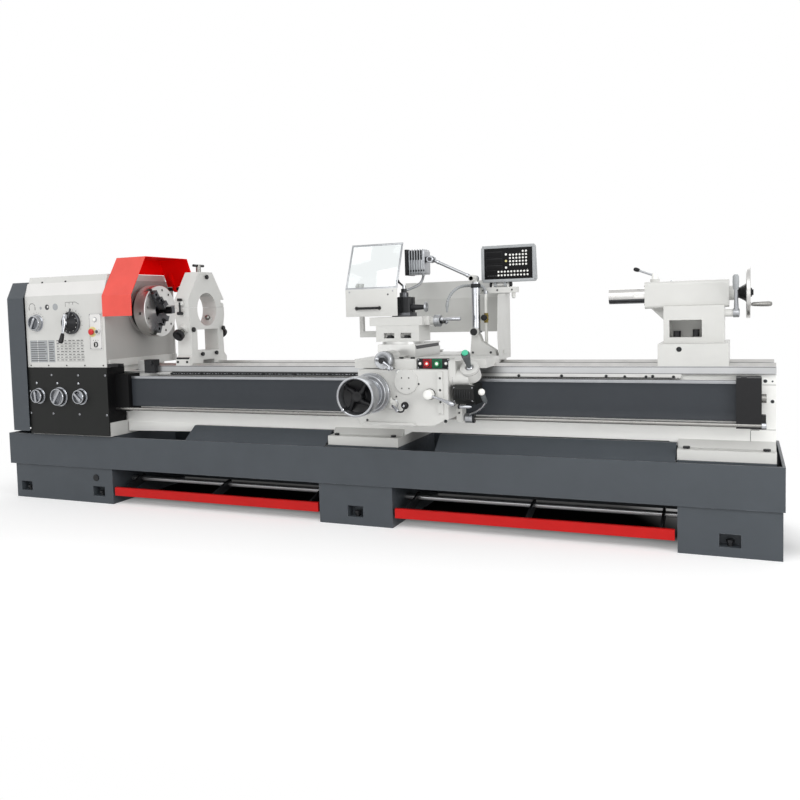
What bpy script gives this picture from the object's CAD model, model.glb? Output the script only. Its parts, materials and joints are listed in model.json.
# %% [markdown]
# # A manual lathe, dressed for its portrait
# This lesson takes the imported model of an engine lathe, whose solids already
# stand in the right places, and gives it the looks of the real machine: painted
# castings, ground steel, a red guard, knobs, dials and small screws.
# Everything is in metres. X runs along the bed towards the tailstock, the
# operator stands at -Y, and Z is up.

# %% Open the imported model
import json
import math
import bmesh
import bpy
from mathutils import Matrix, Vector

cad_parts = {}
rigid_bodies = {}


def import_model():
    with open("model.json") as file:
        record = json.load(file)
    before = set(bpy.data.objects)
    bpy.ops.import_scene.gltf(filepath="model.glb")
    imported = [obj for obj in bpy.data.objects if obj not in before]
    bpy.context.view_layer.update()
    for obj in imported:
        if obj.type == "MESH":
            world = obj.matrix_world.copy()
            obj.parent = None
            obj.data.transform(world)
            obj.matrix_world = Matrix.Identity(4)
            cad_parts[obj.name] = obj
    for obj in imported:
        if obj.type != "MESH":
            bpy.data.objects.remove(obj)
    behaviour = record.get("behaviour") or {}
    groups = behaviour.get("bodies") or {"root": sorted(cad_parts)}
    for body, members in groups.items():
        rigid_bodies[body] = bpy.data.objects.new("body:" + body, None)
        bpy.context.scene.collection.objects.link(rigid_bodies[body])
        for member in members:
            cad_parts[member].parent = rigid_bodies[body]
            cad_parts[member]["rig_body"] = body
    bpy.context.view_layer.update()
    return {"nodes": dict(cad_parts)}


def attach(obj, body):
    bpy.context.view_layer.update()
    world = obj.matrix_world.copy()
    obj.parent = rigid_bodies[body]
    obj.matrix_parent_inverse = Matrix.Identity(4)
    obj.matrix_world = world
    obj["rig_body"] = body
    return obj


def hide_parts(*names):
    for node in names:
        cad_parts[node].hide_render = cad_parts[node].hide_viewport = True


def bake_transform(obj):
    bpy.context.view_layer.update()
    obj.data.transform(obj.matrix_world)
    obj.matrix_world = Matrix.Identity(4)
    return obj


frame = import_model()
nodes = frame["nodes"]

# %% [markdown]
# ## The camera
# A long machine is usually shown from the tailstock end, a little above the
# ways. A short telephoto keeps the far end from shrinking too much. The camera's
# three axes are written out from its heading, its dip and a small roll, because
# that says what it does better than three Euler angles would.

# %% Camera
def set_up_camera(place, heading, dip, roll, lens, shift):
    """A camera at place, turned left of +Y by heading, looking down by dip, in degrees."""
    h, d, r = (math.radians(a) for a in (heading, dip, roll))
    forward = Vector((-math.sin(h) * math.cos(d), math.cos(h) * math.cos(d), -math.sin(d)))
    level = Vector((math.cos(h), math.sin(h), 0))
    lift = level.cross(forward)
    right = level * math.cos(r) + lift * math.sin(r)
    up = lift * math.cos(r) - level * math.sin(r)
    data = bpy.data.cameras.new("portrait_camera")
    data.lens = lens
    data.sensor_width = 36
    data.shift_x, data.shift_y = shift
    data.clip_start, data.clip_end = 0.1, 60
    camera = bpy.data.objects.new("portrait_camera", data)
    axes = Matrix((right, up, -forward)).transposed()
    camera.matrix_world = Matrix.Translation(place) @ axes.to_4x4()
    bpy.context.scene.collection.objects.link(camera)
    bpy.context.scene.camera = camera
    return camera


camera = set_up_camera((2.0689, -4.3644, 1.1470), 24.498, 3.7475, -1.675, 38.28, (0.0557, -0.0443))
print("camera at", [round(v, 3) for v in camera.location])

# %% [markdown]
# ## Floor, backdrop and light
# A studio shot of a machine has a white floor that runs into a white wall. The
# world is white only where the camera, a mirror or a clear window looks at it; as
# a lamp it is dimmer, so that faces turned to different sides differ. Shaders are
# networks of nodes, so a few helpers that make and join nodes come first.

# %% Stage
def node_tree(owner):
    """The emptied node tree of a material or a world, and the socket that it shows."""
    owner.use_nodes = True
    tree = owner.node_tree
    tree.nodes.clear()
    kind = "World" if isinstance(owner, bpy.types.World) else "Material"
    return tree, tree.nodes.new("ShaderNodeOutput" + kind).inputs[0]


def add_node(tree, kind, values=None, out=0, **settings):
    """One output of a new node; each value is a constant for an input, or a socket that feeds it."""
    node = tree.nodes.new("ShaderNode" + kind)
    for key, value in settings.items():
        setattr(node, key, value)
    for key, value in (values or {}).items():
        if isinstance(value, bpy.types.NodeSocket):
            tree.links.new(value, node.inputs[key])
        else:
            node.inputs[key].default_value = value
    return node.outputs[out]


def seen_directly(tree):
    """1 for rays from the camera, from mirrors and through clear windows, otherwise 0."""
    path = tree.nodes.new("ShaderNodeLightPath").outputs
    total = path["Is Camera Ray"]
    for name in ("Is Glossy Ray", "Is Transmission Ray"):
        total = add_node(tree, "Math", {0: total, 1: path[name]}, operation="MAXIMUM")
    return total


WHITE = (1, 1, 1, 1)
WORLD_LIGHT = 0.60
world = bpy.data.worlds.new("studio")
bpy.context.scene.world = world
tree, output = node_tree(world)
as_lamp = add_node(tree, "Background", {"Color": WHITE, "Strength": WORLD_LIGHT})
as_seen = add_node(tree, "Background", {"Color": WHITE, "Strength": 1.0})
tree.links.new(add_node(tree, "MixShader", {0: seen_directly(tree), 1: as_lamp, 2: as_seen}), output)
bpy.context.scene.view_settings.view_transform = "Standard"
print("world light:", WORLD_LIGHT)

# %% [markdown]
# Five soft boxes light the machine: the key from above, a long low one in front
# for the faces under the bed, and weaker ones from the left, the right and behind.

# %% Lamps
def soft_box(name, place, target, size, power):
    """A large rectangular lamp that faces a point."""
    data = bpy.data.lights.new(name, "AREA")
    data.shape = "RECTANGLE"
    data.size, data.size_y = size
    data.energy = power
    light = bpy.data.objects.new(name, data)
    light.location = place
    light.rotation_mode = "QUATERNION"
    light.rotation_quaternion = (Vector(target) - Vector(place)).to_track_quat("-Z", "Y")
    bpy.context.scene.collection.objects.link(light)


soft_box("key_light", (1.0, -6.5, 5.5), (0, 0, 0.8), (7, 4), 212)
soft_box("low_light", (0.0, -6.5, 0.9), (0, 0, 0.5), (7, 1.2), 46)
soft_box("fill_light", (-6.0, -4.0, 4.0), (-1.0, 0, 0.9), (4, 4), 60)
soft_box("end_light", (6.5, -3.0, 2.2), (1.2, 0, 0.8), (3, 3), 150)
soft_box("rear_light", (0.5, 5.5, 5.0), (0, 0, 0.9), (7, 3), 130)

# %% [markdown]
# The floor is matt paper near the machine and glows white further out, where it
# runs into the world behind it. Three smooth steps along X and Y mark the place
# under the machine and just behind it, and there the paper is dark.

# %% Floor
floor_mesh = bpy.data.meshes.new("studio_floor")
floor_mesh.from_pydata([(-16, -9, 0), (16, -9, 0), (16, 16, 0), (-16, 16, 0)], [], [(0, 1, 2, 3)])
studio_floor = bpy.data.objects.new("studio_floor", floor_mesh)
bpy.context.scene.collection.objects.link(studio_floor)
paper = bpy.data.materials.new("white_paper")
tree, output = node_tree(paper)


def smooth_step(value, first, last, begin=0.0):
    """Runs smoothly from begin to 1 - begin while the value goes from first to last."""
    return add_node(tree, "MapRange", {"Value": value, "From Min": first, "From Max": last, "To Min": begin,
        "To Max": 1 - begin}, interpolation_type="SMOOTHSTEP")


def both(one, two):
    return add_node(tree, "Math", {0: one, 1: two}, operation="MULTIPLY")


direct = seen_directly(tree)
spot = add_node(tree, "TexCoord", out="Object")
oval = add_node(tree, "Mapping", {"Vector": spot, "Scale": (0.30, 0.55, 0)})
distance = add_node(tree, "VectorMath", {0: oval}, "Value", operation="LENGTH")
along, across = (add_node(tree, "VectorMath", {0: spot, 1: way}, "Value", operation="DOT_PRODUCT")
    for way in ((1, 0.55, 0), (0, 1, 0)))
sideways = add_node(tree, "Math", {0: along}, operation="ABSOLUTE")
under = both(both(smooth_step(sideways, 1.7, 2.5, 1.0), smooth_step(across, 0.35, 1.5, 1.0)),
    smooth_step(across, -0.30, -0.02))
albedo, shine = (
    add_node(tree, "Mix", {"Factor": under, "A": open_floor, "B": dark}, "Result", data_type="FLOAT")
    for open_floor, dark in ((0.80, 0.02), (0.30, 0.0)))
matt = add_node(tree, "BsdfDiffuse", {"Color": albedo})
lifted = add_node(tree, "Emission", {"Color": shine, "Strength": direct})
near_sheet = add_node(tree, "AddShader", {0: matt, 1: lifted})
glow = add_node(tree, "Emission", {"Color": WHITE, "Strength": 1.0})
far = both(smooth_step(distance, 0.95, 1.5), direct)
tree.links.new(add_node(tree, "MixShader", {0: far, 1: near_sheet, 2: glow}), output)
floor_mesh.materials.append(paper)
print("floor laid")

# %% [markdown]
# ## Finishes
# A machine has few finishes, and each has its own small detail. Paint is sprayed
# over cast iron: its colour drifts a little, its surface has a fine orange peel,
# and its sharp edges are rubbed lighter. Ground and turned steel shows the marks
# of the tool. All of it is made of noise in the part's own coordinates, so that
# the pattern stays put when the part moves.

# %% Colours and patterns
def srgb(r, g, b, factor=1.0):
    """A colour written as 0 to 255, as the shader wants it, made brighter by a factor."""
    def linear(v):
        v = v / 255
        return v / 12.92 if v <= 0.04045 else ((v + 0.055) / 1.055) ** 2.4
    return tuple(min(1, linear(v) * factor) for v in (r, g, b)) + (1,)


def noise(tree, size, detail=3, stretch=(1, 1, 1)):
    """Smooth noise from 0 to 1 that rides with the part; its lumps are about size metres across."""
    place = add_node(tree, "Mapping", {"Vector": add_node(tree, "TexCoord", out="Object"), "Scale": stretch})
    return add_node(tree, "TexNoise", {"Vector": place, "Scale": 1 / size, "Detail": detail, "Roughness": 0.55})


def spread(tree, value, low, high, start=0.3, end=0.7):
    """Stretches a value's middle range to low..high."""
    return add_node(tree, "MapRange", {"Value": value, "From Min": start, "From Max": end, "To Min": low,
        "To Max": high})


def blend_colours(tree, share, first, second):
    """first where share is 0, second where it is 1; each is a colour or a socket."""
    return add_node(tree, "Mix", {0: share, 6: first, 7: second}, 2, data_type="RGBA")


def rubbed_edges(tree, radius):
    """1 on sharp edges that hands and chips have rubbed, in patches, otherwise 0."""
    rounded = add_node(tree, "Bevel", {"Radius": radius}, samples=4)
    flat = add_node(tree, "NewGeometry", out="Normal")
    likeness = add_node(tree, "VectorMath", {0: rounded, 1: flat}, "Value", operation="DOT_PRODUCT")
    edge = spread(tree, likeness, 1, 0, 0.80, 0.97)
    patch = spread(tree, noise(tree, 0.05, 5), 0, 1, 0.46, 0.60)
    return add_node(tree, "Math", {0: edge, 1: patch}, operation="MULTIPLY", use_clamp=True)


print("patterns ready")

# %% [markdown]
# A finish joins them: a colour that drifts, edges that are rubbed, a gloss that
# varies and a fine surface. Each of them has its own size.

# %% Finish maker
def finish(name, colour, rough=0.42, metal=0.0, drift=0.05, drift_size=0.16, swing=0.06,
           bump=(0.00003, 0.0020), stretch=(1, 1, 1), rub=None, coat=0.0, specular=0.3):
    """A paint, metal or plastic with drifting colour and uneven gloss.

    bump holds the height and the size of its fine surface, rub the reach and the colour
    of its rubbed edges; either may be None.
    """
    material = bpy.data.materials.new(name)
    tree, output = node_tree(material)
    drifting = spread(tree, noise(tree, drift_size, 4), 0, 1)
    tone = blend_colours(tree, drifting, srgb(*colour, 1 - drift), srgb(*colour, 1 + drift))
    if rub:
        tone = blend_colours(tree, rubbed_edges(tree, rub[0]), tone, srgb(*rub[1]))
    gloss = spread(tree, noise(tree, drift_size / 5, 2), rough - swing, rough + swing)
    inputs = {"Base Color": tone, "Roughness": gloss, "Metallic": metal, "Coat Weight": coat,
              "Coat Roughness": 0.12, "Specular IOR Level": specular}
    if bump:
        relief = noise(tree, bump[1], 2, stretch)
        inputs["Normal"] = add_node(tree, "Bump", {"Height": relief, "Strength": 1.0, "Distance": bump[0]})
    tree.links.new(add_node(tree, "BsdfPrincipled", inputs), output)
    return material


print("finish maker ready")

# %% [markdown]
# The paints come first, then the metals, then plastics, cloth and print. Ground
# and turned faces stretch their fine surface along the marks of the tool.

# %% The finishes
slate_paint = finish("slate_paint", (69, 74, 79), 0.44, drift=0.05, rub=(0.0025, (128, 132, 138)),
    bump=(0.00005, 0.0040))
white_paint = finish("white_paint", (203, 203, 200), 0.38, drift=0.03, rub=(0.0022, (168, 168, 164)),
    bump=(0.00005, 0.0045))
bright_paint = finish("bright_paint", (216, 215, 213), 0.36, drift=0.02, bump=(0.00006, 0.003))
wall_paint = finish("wall_paint", (240, 240, 237), 0.42, drift=0.02, bump=(0.00005, 0.0045))
side_paint = finish("side_paint", (170, 169, 166), 0.40, drift=0.02, bump=(0.00005, 0.0045))
gearbox_paint = finish("gearbox_paint", (27, 28, 27), 0.42, drift=0.08,
    rub=(0.002, (70, 70, 67)), specular=0.2)
red_paint = finish("red_paint", (250, 6, 6), 0.50, drift=0.04, rub=(0.002, (236, 70, 60)),
    bump=(0.00008, 0.0028), specular=0.05)
faded_red = finish("faded_red", (222, 84, 74), 0.48, drift=0.05, rub=(0.002, (236, 140, 130)),
    bump=(0.00008, 0.0028))
pedal_red = finish("pedal_red", (186, 6, 4), 0.46, drift=0.07, rub=(0.002, (104, 50, 46)))
ground_steel = finish("ground_steel", (168, 169, 170), 0.30, 0.9, drift=0.06, drift_size=0.3, swing=0.02,
    bump=(0.000003, 0.0020), stretch=(0.03, 1, 1))
turned_steel = finish("turned_steel", (138, 137, 134), 0.30, 1.0, drift=0.07, drift_size=0.08, swing=0.04,
    bump=(0.000008, 0.0016), stretch=(1, 0.12, 0.12))
chuck_steel = finish("chuck_steel", (200, 199, 197), 0.34, 1.0, drift=0.08, drift_size=0.07, swing=0.04,
    bump=(0.000008, 0.0016), stretch=(1, 0.2, 0.2))
dark_steel = finish("dark_steel", (92, 93, 96), 0.38, 1.0, drift=0.16, drift_size=0.03, swing=0.10,
    bump=(0.00002, 0.0020))
bright_chrome = finish("bright_chrome", (172, 174, 178), 0.16, 1.0, drift=0.03, drift_size=0.03, swing=0.04,
    bump=(0.000004, 0.0020))
black_oxide = finish("black_oxide", (34, 35, 37), 0.42, 0.25, drift=0.18, drift_size=0.02, swing=0.08,
    bump=(0.00004, 0.0012))
black_plastic = finish("black_plastic", (20, 20, 22), 0.36, drift=0.10, drift_size=0.03,
    bump=(0.00003, 0.0012), specular=0.25)
slide_iron = finish("slide_iron", (196, 196, 194), 0.32, 0.70, drift=0.04, drift_size=0.12, swing=0.03,
    bump=(0.000008, 0.0018), stretch=(1, 0.05, 1))
alloy = finish("alloy", (164, 166, 169), 0.34, 0.9, drift=0.06, drift_size=0.04, swing=0.05,
    bump=(0.00004, 0.0014))
brass = finish("brass", (206, 184, 112), 0.26, 1.0, drift=0.08, drift_size=0.02, swing=0.05)
case_grey = finish("case_grey", (158, 161, 163), 0.46, drift=0.04, drift_size=0.06, bump=(0.00005, 0.0016))
green_plastic = finish("green_plastic", (30, 140, 84), 0.30, drift=0.06, drift_size=0.01, coat=0.4)
red_plastic = finish("red_plastic", (196, 20, 26), 0.28, drift=0.06, drift_size=0.01, coat=0.4)
white_plastic = finish("white_plastic", (236, 236, 232), 0.32, drift=0.02, drift_size=0.02, coat=0.3)
blind_cloth = finish("blind_cloth", (46, 50, 55), 0.52, drift=0.05, drift_size=0.22, swing=0.05,
    bump=(0.00008, 0.0024), stretch=(1, 0.2, 0.2))
ink = finish("ink", (70, 70, 72), 0.5, drift=0.05, drift_size=0.02, bump=None)
crimson_plate = finish("crimson_plate", (122, 16, 34), 0.40, drift=0.06, drift_size=0.01)
fir_plate = finish("fir_plate", (14, 88, 58), 0.40, drift=0.06, drift_size=0.01)
straw_plastic = finish("straw_plastic", (212, 202, 140), 0.42, drift=0.05, drift_size=0.01)
jet = finish("jet", (14, 14, 15), 0.50, drift=0.10, drift_size=0.02, bump=None, specular=0.12)
print("finishes:", len(bpy.data.materials))

# %% [markdown]
# ## Dressing the solids
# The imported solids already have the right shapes, so most of them stay. Three
# things are missing: a small round on every edge that catches the light, smooth
# shading on the round faces, and the finish. A modifier makes the rounds without
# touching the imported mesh. Where one casting holds parts of another colour, a
# test of the middle of each face, in millimetres, says which finish it takes.

# %% Dress a solid
def dress(name, main, others=(), round_off=0.0012):
    """Rounds one solid's edges and paints it; others pairs finishes with tests of a point in mm."""
    solid = nodes[name]
    mesh = solid.data
    mesh.materials.clear()
    for material in [main] + [other for other, _ in others]:
        mesh.materials.append(material)
    for face in mesh.polygons:
        face.material_index = 0
        for k, (_, test) in enumerate(others, 1):
            if test(*(face.center * 1000)):
                face.material_index = k
    flat = solid.modifiers.new("merge_flat_faces", "DECIMATE")
    flat.decimate_type = "DISSOLVE"
    flat.angle_limit = math.radians(0.5)
    flat.delimit = {"MATERIAL"}
    edge = solid.modifiers.new("small_rounds", "BEVEL")
    edge.width = round_off
    edge.segments = 2
    edge.limit_method = "ANGLE"
    edge.angle_limit = math.radians(38)
    edge.harden_normals = True


print("ready to dress", len(nodes), "solids")

# %% [markdown]
# ## Making new pieces
# Knobs, levers and dials deserve more than their plain solids. Each new piece is
# a blank on which a few shop operations leave their shape: turning, sawing a
# block, sawing a plate, bending a rod. The operations work in millimetres, as a
# drawing does, and the finished blank goes on the machine in metres. First come
# the directions of the machine and a little geometry.

# %% Directions, circles and profiles
RIGHT, LEFT, BACK, OUT, UP, DOWN = (1, 0, 0), (-1, 0, 0), (0, 1, 0), (0, -1, 0), (0, 0, 1), (0, 0, -1)
SPINDLE_Z, HEAD_FRONT, GEARBOX_FRONT = 1170, -356, -360


def square_to(along):
    """A unit vector along a direction, and two more at right angles to it."""
    axis = Vector(along).normalized()
    side = axis.orthogonal().normalized()
    return axis, side, axis.cross(side)


def turns(count):
    """The angles of so many things spaced evenly round a circle."""
    return [2 * math.pi * k / count for k in range(count)]


def circle(centre, side, other, radius, steps):
    """Evenly spaced points about a centre, in the plane of two unit vectors."""
    return [centre + (side * math.cos(a) + other * math.sin(a)) * radius for a in turns(steps)]


def arc(centre, radius, first, last, steps, first_axis=RIGHT, second_axis=UP):
    """Points along an arc, its angles in degrees from the first axis towards the second."""
    c, u, v = Vector(centre), Vector(first_axis), Vector(second_axis)
    angles = (math.radians(first + (last - first) * k / steps) for k in range(steps + 1))
    return [c + (u * math.cos(a) + v * math.sin(a)) * radius for a in angles]


def about(x, z, angle):
    """Turns things about the line from front to back through (x, z)."""
    return Matrix.Translation((x, 0, z)) @ Matrix.Rotation(angle, 4, "Y") @ Matrix.Translation((-x, 0, -z))


def disc(radius, length, bore=0, edge=0):
    """The profile of a disc, or of a ring when it has a bore, with one edge broken if asked."""
    rim = [(length - edge, radius), (length, radius - edge)] if edge else [(length, radius)]
    return [(0, bore), (0, radius)] + rim + [(length, bore)]


def boss(radius, length, bore):
    """The profile of a ring with both of its outer edges broken by 1 mm."""
    return [(0, bore), (0, radius - 1), (1, radius), (length - 1, radius), (length, radius - 1), (length, bore)]


print("geometry ready")

# %% [markdown]
# A blank keeps one mesh and the finishes on it. Every operation adds faces to the
# mesh and paints them, and fitting turns the mesh into a piece of the machine.

# %% Blank
class Blank:
    """A mesh built up from turned, sawn and bent stock."""

    def __init__(self, name):
        self.name, self.shape, self.finishes = name, bmesh.new(), []

    def paint(self, faces, finish):
        if finish not in self.finishes:
            self.finishes.append(finish)
        for face in faces:
            face.material_index = self.finishes.index(finish)
            face.smooth = True

    def rounded(self, faces, round_off):
        """Rounds the edges of some faces; returns the faces there are then."""
        if not round_off:
            return faces
        edges = list(dict.fromkeys(e for f in faces for e in f.edges))
        made = bmesh.ops.bevel(self.shape, geom=edges, offset=round_off, segments=2, profile=0.5,
            affect="EDGES")
        return [f for v in made["verts"] for f in v.link_faces] + [f for f in faces if f.is_valid]

    def turned(self, finish, start, along, profile, steps=40):
        """Turns a profile of (distance, radius) about the line from start in the direction along."""
        axis, side, other = square_to(along)
        rings = []
        for distance, radius in profile:
            centre = Vector(start) + axis * distance
            points = circle(centre, side, other, radius, steps) if radius else [centre]
            rings.append([self.shape.verts.new(p) for p in points])
        faces = []
        for one, two in zip(rings, rings[1:]):
            for k in range(steps):
                ring = [one[k % len(one)], one[(k + 1) % len(one)], two[(k + 1) % len(two)], two[k % len(two)]]
                corners = [v for n, v in enumerate(ring) if v not in ring[:n]]
                if len(corners) > 2:
                    faces.append(self.shape.faces.new(corners))
        self.paint(faces, finish)

    def block(self, finish, low, high, round_off=1.0, turn=None):
        """A block between two corners, its edges rounded, first turned by a matrix if one is given."""
        low, high = Vector(low), Vector(high)
        place = Matrix.Translation((low + high) / 2) @ Matrix.Diagonal((*(high - low), 1))
        made = bmesh.ops.create_cube(self.shape, size=1, matrix=(turn or Matrix()) @ place)["verts"]
        faces = list(dict.fromkeys(f for v in made for f in v.link_faces))
        self.paint(self.rounded(faces, round_off), finish)

    def plate(self, finish, outline, origin, across, up, thickness, round_off=0.0):
        """Saws an outline of (across, up) points out of a plate; it grows along across x up."""
        across, up = Vector(across).normalized(), Vector(up).normalized()
        low = [self.shape.verts.new(Vector(origin) + across * a + up * b) for a, b in outline]
        face = self.shape.faces.new(low)
        grown = bmesh.ops.extrude_face_region(self.shape, geom=[face])["geom"]
        tops = [g for g in grown if isinstance(g, bmesh.types.BMVert)]
        bmesh.ops.translate(self.shape, verts=tops, vec=across.cross(up) * thickness)
        faces = list(dict.fromkeys(f for v in low + tops for f in v.link_faces))
        self.paint(self.rounded(faces, round_off), finish)

    def bent(self, finish, points, radii, steps=16):
        """A rod through the points; radii is one radius or one for each point."""
        points = [Vector(p) for p in points]
        last = len(points) - 1
        radii = radii if isinstance(radii, (list, tuple)) else [radii] * len(points)
        ways = [(points[min(k + 1, last)] - points[max(k - 1, 0)]).normalized() for k in range(len(points))]
        side = ways[0].orthogonal().normalized()
        rings = []
        for point, way, radius in zip(points, ways, radii):
            side = (side - way * side.dot(way)).normalized()
            rings.append([self.shape.verts.new(p) for p in circle(point, side, way.cross(side), radius, steps)])
        faces = [self.shape.faces.new((one[k], one[(k + 1) % steps], two[(k + 1) % steps], two[k]))
                 for one, two in zip(rings, rings[1:]) for k in range(steps)]
        faces += [self.shape.faces.new(list(reversed(rings[0]))), self.shape.faces.new(rings[-1])]
        self.paint(faces, finish)

    def ball(self, finish, centre, radius, along=UP, steps=14):
        """A ball whose poles lie along a direction."""
        bends = (math.pi * k / steps for k in range(1, steps))
        profile = [(radius * (1 - math.cos(a)), radius * math.sin(a)) for a in bends]
        start = Vector(centre) - Vector(along).normalized() * radius
        self.turned(finish, start, along, [(0, 0)] + profile + [(2 * radius, 0)], 28)

    def screw(self, head, place, along, radius, height):
        """A round head with a hexagon socket."""
        edge, bore, deep = radius * 0.14, radius * 0.5, -height * 0.6
        self.turned(head, place, along, disc(radius, height, 0, edge)[:-1] + [(height, bore)], 20)
        self.turned(ink, Vector(place) + Vector(along).normalized() * height, along,
                    [(0, bore), (deep, bore), (deep, 0)], 6)

    def fitted(self, body, replaces=()):
        """Puts the blank on the machine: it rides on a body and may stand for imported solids."""
        bmesh.ops.remove_doubles(self.shape, verts=self.shape.verts, dist=1e-4)
        bmesh.ops.recalc_face_normals(self.shape, faces=self.shape.faces)
        bmesh.ops.scale(self.shape, vec=(0.001,) * 3, verts=self.shape.verts)
        mesh = bpy.data.meshes.new(self.name)
        self.shape.to_mesh(mesh)
        self.shape.free()
        for material in self.finishes:
            mesh.materials.append(material)
        mesh.set_sharp_from_angle(angle=math.radians(34))
        thing = bpy.data.objects.new(self.name, mesh)
        bpy.context.scene.collection.objects.link(thing)
        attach(thing, body)
        if replaces:
            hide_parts(*replaces)
        return thing


print("blanks ready")

# %% [markdown]
# ## The stand and the bed
# The stand is folded and welded sheet under one dark paint; only the brake pedal
# below it is red, with its levers and its shaft left dark and bright. The bed is
# a painted casting whose ways are ground bare, so its faces above the lip take
# the steel, and so do the ones in the gap.

# %% Stand and bed
dress("pedestals", slate_paint, round_off=0.002)
dress("chip_tray", slate_paint, round_off=0.002)
dress("bed_fasteners", black_oxide,
    [(slide_iron, lambda x, y, z: z > 800 and x < -1218 and y > -199)])
dress("brake_pedals", black_oxide, [(pedal_red, lambda x, y, z: y < -292.9), (ground_steel,
    lambda x, y, z: (y + 120) ** 2 + (z - 128) ** 2 < 14.3 ** 2 and abs(x) < 2400)], round_off=0.003)
dress("bed", white_paint, [(chuck_steel, lambda x, y, z: z > 838 and x > -1166),
    (ground_steel, lambda x, y, z: 803.5 < z <= 838 and x > -1166),
    (wall_paint, lambda x, y, z: -182.5 < y < -181.5 and z < 790)])
dress("feed_rack", slide_iron, [(black_oxide, lambda x, y, z: y < -198.1)], round_off=0.0004)
dress("blind_cassettes", black_plastic, [(jet, lambda x, y, z: x < 0)], round_off=0.002)
dress("lead_screw", turned_steel, [(white_paint, lambda x, y, z: x > 2140)])
dress("control_rod", turned_steel)
print("stand and bed dressed")

# %% [markdown]
# ## The headstock and the chuck
# The headstock is painted, with a brighter sheet on its chamfer and on its
# control plate. The chuck is turned steel on a blackened back plate; its jaws are
# hardened and darker.

# %% Headstock and chuck
dress("headstock", white_paint, [
    (bright_paint, lambda x, y, z: y < -325 and 1283 < z < 1363),
    (side_paint, lambda x, y, z: -1392.4 < x < -1391.6 and z > 842),
    (black_oxide, lambda x, y, z: x > -1391 and y > 270 and 849 < z < 1326 and (x > -1380 or y < 296)
        and (y - 283) ** 2 + min(0, z - 1311) ** 2 < 14 ** 2)], round_off=0.003)
dress("end_cover", slate_paint, round_off=0.002)
dress("feed_gearbox", gearbox_paint, [(jet, lambda x, y, z: x > -1393)], round_off=0.0015)
dress("spindle", turned_steel, [(black_oxide, lambda x, y, z: x > -1390)])
dress("belt_drive", dark_steel)
dress("chuck_body", chuck_steel, [(black_oxide, lambda x, y, z: x < -1330)], round_off=0.0015)
for k in (1, 2, 3):
    dress(f"chuck_jaw_{k}", dark_steel)
dress("chuck_guard", red_paint, round_off=0.0008)
guard_mesh = nodes["chuck_guard"].data
guard_mesh.materials.append(faded_red)
for face in guard_mesh.polygons:
    away = face.center * 1000 - Vector((-1280, -40, 1230))
    if face.normal.dot(Vector((0, away.y, away.z))) > 0 and abs(face.normal.x) < 0.5:
        face.material_index = 1
print("headstock and chuck dressed")

# %% [markdown]
# ## The carriage, the tailstock and the steady rest
# Slides are scraped or ground iron, their castings are painted, and everything a
# hand turns is chromed. A few plain solids are only dressed here; the ones with
# more detail are made anew further down.

# %% Carriage, tailstock and steady rest
dress("saddle", white_paint, [(slide_iron, lambda x, y, z: z > 885.5 and 355 < x < 497),
    (black_oxide, lambda x, y, z: z > 890.2 and x > 498)], round_off=0.002)
dress("apron", white_paint,
    [(white_plastic, lambda x, y, z: y < -454.5 and 509 < x < 535 and 815 < z < 841)], round_off=0.003)
dress("rapid_unit", white_paint, [(gearbox_paint, lambda x, y, z: 798 < x and y < -299
    and 667 < z < 765.5 and (y + 400) ** 2 + (z - 798) ** 2 > 41 ** 2)])
dress("cross_slide", slide_iron, [(ink, lambda x, y, z: 930 < z < 946 and abs(x - 426) > 90)],
    round_off=0.0015)
dress("compound_base", white_paint, [(slide_iron, lambda x, y, z: z < 968.5),
    (black_oxide, lambda x, y, z: 985 < z < 1003 and -202 < y < -165
    and min(abs(x - 371), abs(x - 466)) < 17)], round_off=0.002)
dress("top_slide", white_paint, round_off=0.002)
dress("splash_guard", white_paint, round_off=0.0005)
dress("support_post", white_paint,
    [(bright_chrome, lambda x, y, z: 1004 < z < 1269 and (x - 775) ** 2 + (y - 50) ** 2 < 22.5 ** 2)])
dress("lamp_arm", alloy)
dress("tailstock_body", white_paint, [
    (black_oxide, lambda x, y, z: (967 < z < 1006 and -60 < y < -20 and 1760 < x < 1895
        and (abs(x - 1787) < 17.5 or abs(x - 1871) < 15.5))
        or (y < -185 and 906 < z < 930 and 1793 < x < 1817))], round_off=0.003)
dress("quill", chuck_steel, [(dark_steel, lambda x, y, z: z < 1155)])
dress("steady_frame", white_paint, [(black_oxide, lambda x, y, z: x > -904.8)], round_off=0.002)
dress("steady_cap", white_paint, round_off=0.002)
dress("steady_finger_1", turned_steel,
    [(black_plastic, lambda x, y, z: z > 1427 or abs(x + 955) > 16)])
for k in (2, 3):
    dress(f"steady_finger_{k}", turned_steel,
        [(black_plastic, lambda x, y, z: y * y + (z - SPINDLE_Z) ** 2 > 259 ** 2)])
print("carriage, tailstock and steady rest dressed")

# %% [markdown]
# ## The roller blinds
# Two dark blinds keep chips off the lead screw. Each runs from a cassette at the
# end of the bed to the apron, so it grows and shrinks as the carriage travels.
# The real one is thin coated fabric pulled straight by a spring. It is made here
# as a shallow strip of many short strips, so that it can stretch smoothly
# between the bed and the carriage, with a hem along its top and its bottom.

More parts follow.
